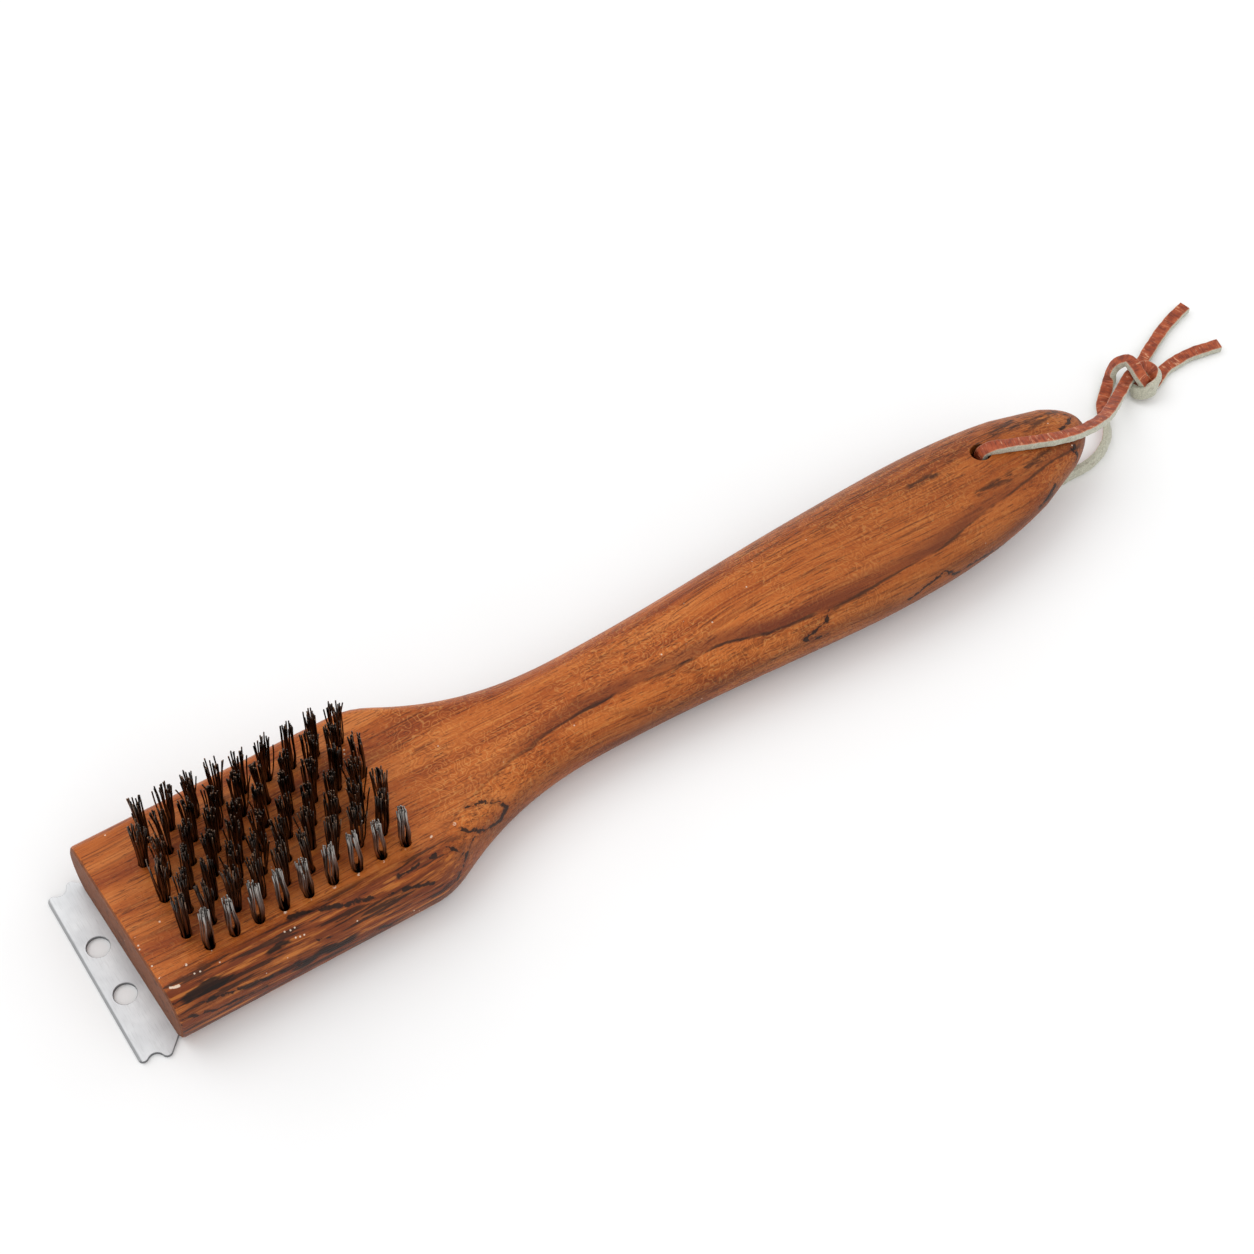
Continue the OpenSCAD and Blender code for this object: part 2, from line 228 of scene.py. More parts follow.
def set_inputs(node, inputs):
    """Sets inputs by name or in their order: outputs are linked, hex colours and values set."""
    for socket, value in inputs.items() if isinstance(inputs, dict) else enumerate(inputs):
        if isinstance(value, bpy.types.NodeSocket):
            node.id_data.links.new(value, node.inputs[socket])
        else:
            node.inputs[socket].default_value = linear(value) if isinstance(value, str) else value


def add_node(kind, inputs=(), out=0, stops=(), **settings):
    """Adds a node to the material in hand and gives one output; stops are a ramp's colours."""
    node = tree.nodes.new("ShaderNode" + kind)
    for name, value in settings.items():
        setattr(node, name, value)
    set_inputs(node, inputs)
    for i, (position, colour) in enumerate(stops):
        elements = node.color_ramp.elements
        stop = elements[i] if i < 2 else elements.new(position)
        stop.position, stop.color = position, linear(colour)
    return node.outputs[out]


def new_material(name):
    """Takes a new material in hand: gives it, its shader and the place in millimetres."""
    global tree
    made = bpy.data.materials.new(name)
    made.use_nodes = True
    tree = made.node_tree
    place = add_node("VectorMath", {0: add_node("TexCoord", out="Object"), "Scale": 1000.0},
                     operation="SCALE")
    return made, tree.nodes["Principled BSDF"], place


def share_of(*measures):
    """The product of the measures. Each is a share, or a value, the level where its share
    begins, the level where it is full and, if they aren't 0 and 1, the shares at the two."""
    shares = [add_node("MapRange", measure, interpolation_type="SMOOTHSTEP")
              if isinstance(measure, tuple) else measure for measure in measures]
    share = shares[0]
    for other in shares[1:]:
        share = add_node("Math", (share, other), operation="MULTIPLY")
    return share


def stained(tone, *stains):
    """Lays colours over a tone, each with the measures of how much of it shows."""
    for colour, *measures in stains:
        tone = add_node("Mix", {0: share_of(*measures), 6: tone, 7: colour}, 2,
                        data_type="RGBA")
    return tone


# Oiled hardwood, sanded and sealed with a thin satin oil: fine dark fibres along the grain,
# flame lines on the flat-sawn faces, a red-brown heart streak, black mineral lines, burnt
# patches on the near edge. The fibres are 0.3 mm wide and some 10 mm long.
oiled_hardwood, shader, place = new_material("oiled_hardwood")
along, across, height = add_node("SeparateXYZ", {0: place}).node.outputs
facing = add_node("SeparateXYZ", {0: add_node("TexCoord", out="Normal")}).node.outputs
drift = add_node("TexNoise", {"Vector": place, "Scale": 0.014, "Detail": 1.5}, "Color")
wavy = add_node("VectorMath", (drift, (7.0, 7.0, 7.0), place), operation="MULTIPLY_ADD")

# patterns: where each is read, how far it is pressed together along the grain, so that it
# runs lengthwise, its scale per millimetre, its detail and its roughness
noise = {}
for name, point, pressed, scale, detail, rough in (
        ("layers", wavy, 0.035, 0.2, 3.0, 0.55), ("bands", place, 0.4, 0.12, 4.0, 0.6),
        ("growth", wavy, 0.03, 0.075, 1.0, 0.55), ("flames", place, 1, 0.03, 3.0, 0.55),
        ("fibres", wavy, 0.022, 2.4, 3.0, 0.7), ("pores", wavy, 0.14, 3.0, 2.0, 0.5),
        ("curls", wavy, 1, 0.34, 1.2, 0.5), ("figure", place, 1, 0.05, 3.0, 0.55),
        ("side_shade_blotch", place, 0.15, 0.25, 3.0, 0.55), ("heart", place, 0.2, 0.1, 3.0, 0.55),
        ("wander", place, 0.2, 0.4, 4.0, 0.55), ("hairline", place, 1, 0.07, 3.0, 0.55),
        ("edge", place, 0.15, 0.4, 3.0, 0.55), ("line_width", place, 1, 0.35, 3.0, 0.55),
        ("smears", place, 0.2, 1.0, 3.0, 0.55), ("blotch", place, 1, 0.35, 4.0, 0.6),
        ("glint_patches", place, 1, 0.11, 3.0, 0.55), ("torn", place, 1, 1.3, 3.0, 0.55)):
    if pressed != 1:
        point = add_node("Mapping", {"Vector": point, "Scale": (pressed, 1.0, 1.0)})
    noise[name] = add_node("TexNoise", {
        "Vector": point, "Scale": scale, "Detail": detail, "Roughness": rough})
veins = add_node("Mapping", {
    "Vector": wavy, "Scale": (0.07, 1.0, 1.0), "Location": (1.0, 2.0, 5.0)})
veins = add_node("TexNoise", {"Vector": veins, "Scale": 0.8, "Detail": 4.0, "Roughness": 0.6})
bands = add_node("Math", (noise["bands"], 0.35), operation="MULTIPLY")
bands = add_node("Math", (noise["layers"], 0.65, bands), operation="MULTIPLY_ADD")
# the edges of the growth layers, and the hooks where the fibres turn
growth, curls = [
    add_node("Math", {0: add_node("Math", (noise[name], waves), operation="MULTIPLY")},
             operation="SINE") for name, waves in (("growth", 60.0), ("curls", 44.0))]

# the heart streak: share of the length, place across in millimetres
brush_len, streak_span = 280, 60
streak_line = [(0.0, -22), (0.12, -23), (0.25, -22), (0.335, -13), (0.4, -8.2), (0.45, -7),
               (0.535, -8.2), (0.58, -9), (0.625, -11.1), (0.66, -12.7), (0.71, -13.4),
               (0.8, -13), (0.86, -10.3), (0.93, -6.5), (1.0, -3)]
centre = add_node("FloatCurve", {
    "Value": add_node("Math", (along, 1 / brush_len, 0.5), operation="MULTIPLY_ADD")})
curve = centre.node.mapping.curves[0]
curve.points[0].location, curve.points[1].location = [
    (x, y / streak_span + 0.5) for x, y in (streak_line[0], streak_line[-1])]
for x, y in streak_line[1:-1]:
    curve.points.new(x, y / streak_span + 0.5)
centre.node.mapping.update()
centre = add_node("Math", (centre, streak_span, -streak_span / 2), operation="MULTIPLY_ADD")
wander = add_node("Math", (noise["wander"], 2.4, -1.2), operation="MULTIPLY_ADD")
off = add_node("Math", (across, wander), operation="ADD")
off = add_node("Math", (off, centre), operation="SUBTRACT")
from_middle = add_node("Math", {0: off}, operation="ABSOLUTE")


def nearest(point, *lines):
    """Distance in millimetres to the nearest of the lines, each through places (x, y, z)."""
    least = 1000.0
    for places in lines:
        for a, b in zip(places, places[1:]):
            way = Vector(b) - Vector(a)
            start = add_node("VectorMath", (point, a), operation="SUBTRACT")
            share = add_node("VectorMath", (start, way / way.length_squared), "Value",
                             operation="DOT_PRODUCT")
            share = add_node("Math", (share, 0.0), operation="ADD", use_clamp=True)
            foot = add_node("VectorMath", {0: way, "Scale": share}, operation="SCALE")
            gap = add_node("VectorMath", (start, foot), "Value", operation="DISTANCE")
            least = add_node("Math", (least, gap), operation="MINIMUM")
    return least


# black mineral lines and dark smears: drawn through places on the surface, and ragged by
# half a millimetre
marked = add_node("VectorMath", (place, (-0.7, -0.7, -0.7)), operation="ADD")
shake = add_node("TexNoise", {"Vector": place, "Scale": 0.55, "Detail": 4.0}, "Color")
marked = add_node("VectorMath", (shake, (1.4, 1.4, 1.4), marked), operation="MULTIPLY_ADD")
lines = nearest(
    marked,
    # behind the shoulder and along the near edge of the head
    [(-53.8, -19.5, 18.3), (-50, -20, 15.2), (-47.3, -19.5, 13.4), (-43.3, -18.3, 11.7),
     (-40.7, -16.9, 13.4), (-42.1, -16, 16.1), (-46.3, -15.4, 18.2), (-50.2, -15, 19)],
    [(-51.3, -20.8, 14.9), (-54.7, -23, 14), (-58.9, -25.5, 9.4)],
    [(-71.9, -22.7, 18.5), (-58.6, -21.7, 18.5), (-55.5, -23.5, 15.5)],
    [(-97.8, -19, 19), (-84.6, -22.7, 18.5), (-69.8, -25.2, 15.7), (-64.8, -25.8, 14)],
    [(-94.4, -25.2, 15.5), (-76.6, -26.2, 6.6)],
    [(-123.7, -25.4, 15.1), (-112.9, -26.1, 12.9), (-100, -26.5, 10.5)],
    [(-128.8, -26, 13.2), (-120.3, -26.5, 10.5), (-108.6, -26.5, 9.2)],
    # along the near side of the grip and round its tip
    [(51.4, -13.2, 19.1), (49.9, -14.6, 17.1), (43.4, -15.2, 14.9), (44.5, -15.6, 13.8),
     (49.6, -16, 13.6)],
    [(72.9, -17.2, 12.4), (83.3, -16.6, 15.5), (86.6, -17.1, 12.6), (94, -16.6, 12.5),
     (105.3, -14.5, 10.5)],
    [(116.9, -12.2, 15.2), (121.4, -10.4, 16.5)], [(132.9, -1.7, 19.5), (130.9, -5.2, 18.2)],
    [(133.5, 7.5, 18.8), (136.4, 5, 18.3), (137.6, 4.5, 17.9), (134.5, 2.3, 19.5),
     (131.2, 1.1, 20.7)],
    [(138.2, 5, 16.8), (139.2, 3.7, 16.6), (138.6, 1.5, 17)],
    [(130.8, -4.7, 18.8), (131.7, -5.7, 16.9), (130.5, -6.9, 15.5)])
line_width = share_of((noise["line_width"], 0.4, 0.62, 0.18, 0.95))
inked = add_node("Math", (lines, line_width), operation="DIVIDE")
smears = nearest(
    marked,
    [(110.7, 8.1, 22.5), (119.6, 7.1, 22.1), (129.4, 6.9, 20.8)],
    [(87, 4.2, 23.9), (94.5, 4.2, 23.8)],
    [(100.5, -5.8, 23.2), (118.6, -4.8, 21.7), (123.6, -3.2, 21.5)],
    [(115.6, -12.7, 14.8), (121.9, -10.7, 15.1)],
    [(108.9, 6.1, 23.0), (113.8, 7.9, 22.4), (118.7, 8.6, 21.7), (122.0, 9.9, 20.9)],
    [(122.7, 4.8, 22.1), (128.1, 5.7, 21.3), (134.2, 7.3, 19.0)])

# burnt patches, drawn out along the grain: place and radius
drawn_out = add_node("Mapping", {"Vector": place, "Scale": (0.3, 1.0, 1.0)})
shake = add_node("TexNoise", {"Vector": drawn_out, "Scale": 0.6, "Detail": 3.0}, "Color")
ragged = add_node("VectorMath", (shake, (0.0, 4.0, 4.0), drawn_out), operation="MULTIPLY_ADD")
burnt = 1000.0
for x, y, z, radius in (
        (-123.4, -24, 17.4, 1.5), (-120.3, -24, 17.2, 1.7), (-117.4, -24.4, 16.8, 1.3),
        (-103, -23.9, 17.6, 1.2), (-102, -26.3, 11.6, 1.1), (-98.6, -26.5, 10, 1.3),
        (-93, -26.3, 11.5, 1.3), (-89.6, -26.5, 10.2, 1.7)):
    gap = add_node("VectorMath", (ragged, (x * 0.3, y + 2, z + 2)), "Value",
                   operation="DISTANCE")
    gap = add_node("Math", (gap, radius), operation="DIVIDE")
    burnt = add_node("Math", (burnt, gap), operation="MINIMUM")

# pale flecks, some 0.3 mm wide: painted highlights on the finish, single ones and scattered
# ones, and pale wood: a longer chip at the corner and torn fibres in front of the first row's
# holes
painted_glints = 1000.0
for speck in ((-100.3, -21.7, 18.9), (-99, -22, 18.8), (-97.9, -21.9, 18.8),
              (-98.7, -23.7, 17.8), (-97.7, -23.9, 17.6), (-96.7, -23.9, 17.5),
              (-122, -20.5, 19), (-120.7, -20.7, 19), (-129.6, -8.7, 19), (-129.4, -7.7, 19),
              (-129.1, -13.9, 19), (-122.7, -4.8, 19)):
    gap = add_node("VectorMath", (place, speck), "Value", operation="DISTANCE")
    painted_glints = add_node("Math", (painted_glints, gap), operation="MINIMUM")
chip = nearest(marked, [(-128.2, -20.7, 19), (-126.3, -21.3, 19)])
# scattered painted highlights on the finish, where the patches allow
scattered_glints = add_node("TexVoronoi", {"Vector": place, "Scale": 0.3}, feature="F1")
in_row = add_node("Math", (along, -wood_x - first_tuft - 2.5), operation="ADD")
in_row = add_node("Math", (in_row, tuft_pitch / 2), operation="PINGPONG")
torn = add_node("CombineXYZ", (in_row, across, height))
torn = add_node("VectorMath", (torn, (0.0, -17.55, head_t)), "Value", operation="DISTANCE")
pale = 0.0
for measures in ([(painted_glints, 0.28, 0.14)], [(chip, 0.42, 0.25)],
                 [(scattered_glints, 0.085, 0.045), (noise["glint_patches"], 0.54, 0.6)],
                 [(torn, 0.5, 0.3), (noise["torn"], 0.5, 0.56)]):
    pale = add_node("Math", (pale, share_of(*measures)), operation="MAXIMUM")

# the colours, from the bare wood up
figured = [(noise["figure"], 0.40, 0.56, 0.35, 1.0), (along, -62.0, -50.0, 0.3, 1.0)]
edge_band = [(across, -18.0, -20.5), (along, -46.0, -66.0)]
sawn = share_of((facing[0], -0.55, -0.9), (along, -120.0, -126.0))
tone = stained(
    add_node("ValToRGB", {0: bands}, stops=(
        (0.36, "#8f3f11"), (0.46, "#a8531b"), (0.56, "#ba6427"), (0.68, "#c57337"))),
    # flame lines where the saw met the growth layers flat
    ("#55260c", (growth, 0.8, 1.0), (noise["flames"], 0.36, 0.6, 0.25, 1.0), 0.4),
    # dark and pale fibres, and pores
    ("#4a1e08", (noise["fibres"], 0.52, 0.66, 0.0, 0.75)),
    ("#d08a45", (noise["fibres"], 0.45, 0.32, 0.0, 0.45)),
    ("#35170a", (noise["pores"], 0.64, 0.70, 0.0, 0.6)),
    # curly figure: short bright and dark hooks
    ("#d79a58", (curls, 0.75, 1.0), *figured, 0.34),
    ("#50220b", (curls, -0.6, -1.0), *figured, 0.32),
    # painted shade: the steep moulded sides are painted darker the more they turn from the top,
    # in blotches
    ("#33170a", (facing[2], 0.8, 0.1), (noise["side_shade_blotch"], 0.3, 0.7, 0.3, 0.62)),
    # the red-brown heart streak, and the dark hairline along it
    ("#5f2611", (off, -0.3, 0.3), (off, 4.4, 1.2), (noise["heart"], 0.34, 0.6, 0.35, 0.85),
     (along, -50.0, -5.0, 0.2, 1.0)),
    ("#1c0d08", (from_middle, 0.5, 0.1), (noise["hairline"], 0.3, 0.46),
     (along, -45.0, -10.0, 0.3, 0.85)),
    # the grip is browner, and dark fibres lie close along its far side
    ("#74401d", (along, 20.0, 90.0, 0.0, 0.3)),
    ("#3c200d", (across, 3.0, 9.0), (along, 5.0, 40.0), (noise["fibres"], 0.49, 0.6, 0.0, 0.6)),
    # along the near edge of the head: a red-brown band, dark and pale veins, burnt patches
    ("#65290f", *edge_band, (noise["edge"], 0.34, 0.62, 0.1, 0.85)),
    ("#1a0c07", (veins, 0.52, 0.58), *edge_band, 0.82),
    ("#cf7f38", (veins, 0.44, 0.37), *edge_band, 0.5),
    ("#120905", (burnt, 1.0, 0.6, 0.0, 0.92)),
    # black mineral lines with a brown border, and dark smears on the grip
    ("#5a2710", (lines, 1.3, 0.3, 0.0, 0.35)),
    ("#150a06", (inked, 1.0, 0.5, 0.0, 0.9)),
    ("#2a150b", (smears, 1.7, 0.2), (noise["smears"], 0.4, 0.54), 0.8),
    # end grain at the sawn end: duller and blotched, and then the pale flecks: painted
    # highlights, the chip and the torn fibres
    ("#7b4a30", sawn, 0.85),
    ("#4f2c1b", sawn, (noise["blotch"], 0.5, 0.68, 0.0, 0.7)),
    ("#f0dcc6", pale, 0.75))
rough = add_node("Math", (sawn, 0.25, 0.3), operation="MULTIPLY_ADD")
rough = add_node("Math", (noise["fibres"], 0.25, rough), operation="MULTIPLY_ADD")
relief = add_node("Math", (curls, 0.1, noise["fibres"]), operation="MULTIPLY_ADD")
relief = add_node("Math", (noise["pores"], -0.6, relief), operation="MULTIPLY_ADD")
bump = add_node("Bump", {"Height": relief, "Strength": 0.5, "Distance": 0.0002})
set_inputs(shader, {"Base Color": tone, "Roughness": rough, "IOR": 1.4,
                    "Specular IOR Level": 0.28, "Normal": bump})
wood.data.materials.append(oiled_hardwood)
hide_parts("wood_body")
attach(wood, "root")


# Scraper plate: rolled stainless sheet, 1 mm thick, punched in one stroke with its two
# holes, its ears and the hollow on each side, then ground to a bevel along the scraping
# edge. Its tail is let into the back of the head and screwed there.
edge_x, plate_t, plate_ease, bevel_from = -140.0, 1.0, 0.12, 0.4
edge_half, ear_half, ear_in, corner_r, hollow_depth = 24.5, 26, 6.5, 1.2, 1.5
punched_x, punched_y = edge_x + 4.8, 7
edge_centre = Vector((edge_x + corner_r, edge_half - corner_r))
ear_centre = Vector((edge_x + ear_in, ear_half - corner_r))
span = ear_centre - edge_centre
tangent_r = (span.length_squared / 4 + hollow_depth ** 2) / (2 * hollow_depth)
hollow_centre = ((edge_centre + ear_centre) / 2
                 + (tangent_r - hollow_depth) * Vector((-span.y, span.x)).normalized())
to_edge = math.atan2(*(hollow_centre - edge_centre).yx)
to_ear = math.atan2(*(hollow_centre - ear_centre).yx)


def plate_outline(inset, z):
    """The plate's outline at height z, drawn in by inset and by the bevel of the edge."""
    half = []
    for centre, r, a, b in (
            (edge_centre, corner_r - inset, math.pi, to_edge),
            (hollow_centre, tangent_r - corner_r + inset, math.pi + to_edge, math.pi + to_ear),
            (ear_centre, corner_r - inset, to_ear, math.pi / 4)):
        half += [(centre.x + r * math.cos(t), centre.y + r * math.sin(t))
                 for t in np.linspace(a, b, 12)]
    run = half[-1][0] + half[-1][1] - tail_half + inset
    half += [(run, tail_half - inset), (wood_x + tail_len - tail_corner, tail_half - inset),
             (wood_x + tail_len - inset, tail_half - tail_corner)]
    half = [(max(x, edge_x + inset + max(0, z - bevel_from)), y) for x, y in half]
    return [(x, y, z) for x, y in half] + [(x, -y, z) for x, y in reversed(half)]


levels = [plate_outline(inset, z) for inset, z in (
    (plate_ease, 0), (0.3 * plate_ease, 0.3 * plate_ease), (0, plate_ease), (0, bevel_from),
    (0, plate_t - plate_ease), (0.3 * plate_ease, plate_t - 0.3 * plate_ease),
    (plate_ease, plate_t))]
plate = mesh_object("scraper", [p for r in levels for p in r], skin(levels))
cutters = [turned("punched_hole", punched_x, y, [
    (2.95, -0.5), (2.95, -0.01), (2.75, 0.15), (2.75, 0.88), (2.85, 0.98), (3.0, 1.2)], 48)
    for y in (-punched_y, punched_y)]
cutters += [turned("countersink", x, y, [
    (3.0, -0.2), (screw_head_r, 0), (1.8, plate_t), (screw_r, screw_head_r - screw_r)], 32)
    for x, y in screw_places]
cut(plate, cutters)
smooth_shade(plate, 30)

# Rolled stainless, 2B mill finish: dull grey with fine rolling lines along the coil. The
# sheared and ground faces carry painted shade: the steeper the face, the darker it is painted.
mill_stainless, shader, place = new_material("mill_finish_stainless")
rolling = add_node("Mapping", {"Vector": place, "Scale": (1.0, 0.05, 1.0)})
rolling = add_node("TexNoise", {
    "Vector": rolling, "Scale": 5.0, "Detail": 3.0, "Roughness": 0.6})
cloud = add_node("TexNoise", {
    "Vector": place, "Scale": 0.12, "Detail": 3.0, "Roughness": 0.55})
facing = add_node("SeparateXYZ", {0: add_node("TexCoord", out="Normal")}).node.outputs
rolled_face = add_node("Math", {0: facing[2]}, operation="ABSOLUTE")
tone = stained(
    add_node("ValToRGB", {0: cloud}, stops=((0.3, "#c0c1c3"), (0.7, "#d2d3d4"))),
    ("#9d9d9e", (rolling, 0.5, 0.75, 0.0, 0.3)),
    # painted shade on the hole walls, the edges and the bevel, by how steeply they face
    ("#5f6062", (rolled_face, 0.9, 0.5, 0.0, 0.8)))
rough = add_node("Math", (rolling, 0.15, 0.42), operation="MULTIPLY_ADD")
bump = add_node("Bump", {"Height": rolling, "Strength": 0.15, "Distance": 0.0001})
set_inputs(shader, {"Base Color": tone, "Metallic": 1.0, "Roughness": rough, "Normal": bump})
plate.data.materials.append(mill_stainless)
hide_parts("scraper_plate")
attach(plate, "root")


# Screws and staples: three countersunk wood screws with cross recesses, driven up through
# the plate's tail, and the flat staple at the foot of each tuft. Their shapes are the
# frame's own. Zinc-plated steel, pale grey and half bright, with a faint 1 mm spangle.
zinc_plate, shader, place = new_material("zinc_plated_steel")
spangle = add_node("TexNoise", {"Vector": place, "Scale": 0.9, "Detail": 2.0})
tone = add_node("ValToRGB", {0: spangle}, stops=((0.35, "#a9adb3"), (0.65, "#c6c9cc")))
set_inputs(shader, {"Base Color": tone, "Metallic": 1.0, "Roughness": 0.32})
for node in ("scraper_screws", "tuft_staples"):
    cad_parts[node].data.materials.clear()
    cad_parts[node].data.materials.append(zinc_plate)


# Tufts: 63 bundles of tempered steel wire, 0.4 mm thick. A machine folds each bundle over
# a flat staple and drives it into its hole, so two half bundles stand side by side and bow
# apart above the wood. The front row is still tidy, the others fray at the cut tops.
wires_in_half, wire_r, wire_sides, cut_tip, bristle_len = 10, 0.19, 6, 0.16, 17.0
front_height, stray_share, first_seed = 0.93, 0.09, 500
rows = {row: ([], []) for row in range(1, tuft_rows + 1)}
for n, (row, x, y) in enumerate(tuft_places):
    rand = random.Random(first_seed + n)
    verts, faces = rows[row]
    # turned by up to 18 degrees, each tuft its own way, and the front row by a right angle
    turn = math.radians(90 if row == 1 else 0) + math.radians(
        18 * math.sin(math.radians(100 * row + 77 * (n % tufts_in_row))))
    turn += rand.uniform(-0.2, 0.2)
    lean_x, lean_y = rand.gauss(0, 0.02), rand.gauss(0, 0.02)
    frayed = rand.uniform(0.2, 0.5) if row == 1 else rand.uniform(0.5, 1.3)
    for half in (-1, 1):
        for wire in range(wires_in_half):
            # the foot, inside half of the round hole
            a, b = rand.uniform(-1, 1), rand.uniform(0.12, 1)
            if a * a + b * b > 1:
                a *= 0.62
                b *= 0.85
            foot_u, foot_v = a * 1.12, half * b * 1.1
            # how far the wire leans out, how tall it stands and how it bends
            stray = rand.random() < stray_share * frayed
            spread = (rand.uniform(0.015, 0.07)
                      + (rand.uniform(0.08, 0.16) if stray else 0)) * frayed
            out_u = foot_u * spread + rand.gauss(0, 0.02) * frayed
            out_v = (foot_v - half * 0.4) * spread * 1.3 + rand.gauss(0, 0.02) * frayed
            tall = bristle_len * (front_height if row == 1 else 1) * (
                1 - 0.05 * (a * a + b * b) - abs(rand.gauss(0, 0.025)) * (0.4 + frayed))
            tall -= rand.uniform(1, 5) if stray else cut_tip
            bow = half * rand.uniform(0.3, 0.55)
            bend = rand.gauss(0, 0.3) * frayed
            path = []
            for h in (-0.3, 0, 0.12, 0.28, 0.5, 0.75, 1):
                up = h * tall
                free = max(0, up)
                curl = bend * max(0, h - 0.55) ** 2 * 4
                u = foot_u + out_u * free + curl
                v = (foot_v + bow * math.sin(math.pi * min(1, max(0, h) / 0.62))
                     + out_v * free)
                path.append((x + u * math.cos(turn) - v * math.sin(turn) + lean_x * free,
                             y + u * math.sin(turn) + v * math.cos(turn) + lean_y * free,
                             head_t + up))
            low = [len(verts) + i * wire_sides for i in range(len(path))]
            for px, py, pz in path:
                verts += [(px + wire_r * math.cos(q), py + wire_r * math.sin(q), pz)
                          for q in np.linspace(0, 2 * math.pi, wire_sides, endpoint=False)]
            verts.append((path[-1][0], path[-1][1], path[-1][2] + cut_tip))
            pairs = [(j, (j + 1) % wire_sides) for j in range(wire_sides)]
            for below, above in zip(low, low[1:]):
                faces += [(below + j, below + k, above + k, above + j) for j, k in pairs]
            faces += [(low[-1] + j, low[-1] + k, len(verts) - 1) for j, k in pairs]

# Tempered steel wire, drawn and blued: nearly black with a brown cast. Each wire is painted its
# own tone up to amber, a painted reflection of the wood, and the front row's upper part a painted
# grey sheen.
blued_wire, shader, place = new_material("blued_spring_steel")
strand = add_node("Mapping", {"Vector": place, "Scale": (1.0, 1.0, 0.04)})
strand = add_node("TexNoise", {
    "Vector": strand, "Scale": 1.9, "Detail": 2.0, "Roughness": 0.7})
along, across, height = add_node("SeparateXYZ", {0: place}).node.outputs
# each wire painted its own tone from near black to amber: a painted reflection of the wood
tone = stained(
    add_node("ValToRGB", {0: strand}, stops=(
        (0.36, "#150d08"), (0.5, "#2c1c11"), (0.6, "#6a4526"), (0.72, "#9a6a3c"))),
    # painted sheen: the upper part of the front row is painted pale grey
    ("#a49f9a", (height, 20.0, 25.0), (across, -13.0, -14.5, 0.15, 1.0),
     (strand, 0.35, 0.6, 0.35, 1.0)))
set_inputs(shader, {"Base Color": tone, "Metallic": 1.0, "Roughness": 0.3,
                    "Coat Weight": 0.25, "Coat Roughness": 0.25})
for row, (verts, faces) in rows.items():
    tufts = mesh_object("tufts_%d" % row, verts, faces)
    smooth_shade(tufts, 50)
    tufts.data.materials.append(blued_wire)
    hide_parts("tuft_row_%d" % row)
    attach(tufts, "root")


# Lace: one strip of vegetable-tanned leather, 3.2 by 2.0 mm, red-brown on its grain side,
# pale grey suede on the cut sides and the back. It goes up through the handle, its ends
# are tied round each other beyond the tip, and both are cut square.
lace_w, lace_t, lace_corner, lace_seed = 3.2, 2.0, 0.35, 11
thinner_by, thinner_from, thinner_until, route_step = 0.17, 14, 48, 0.6
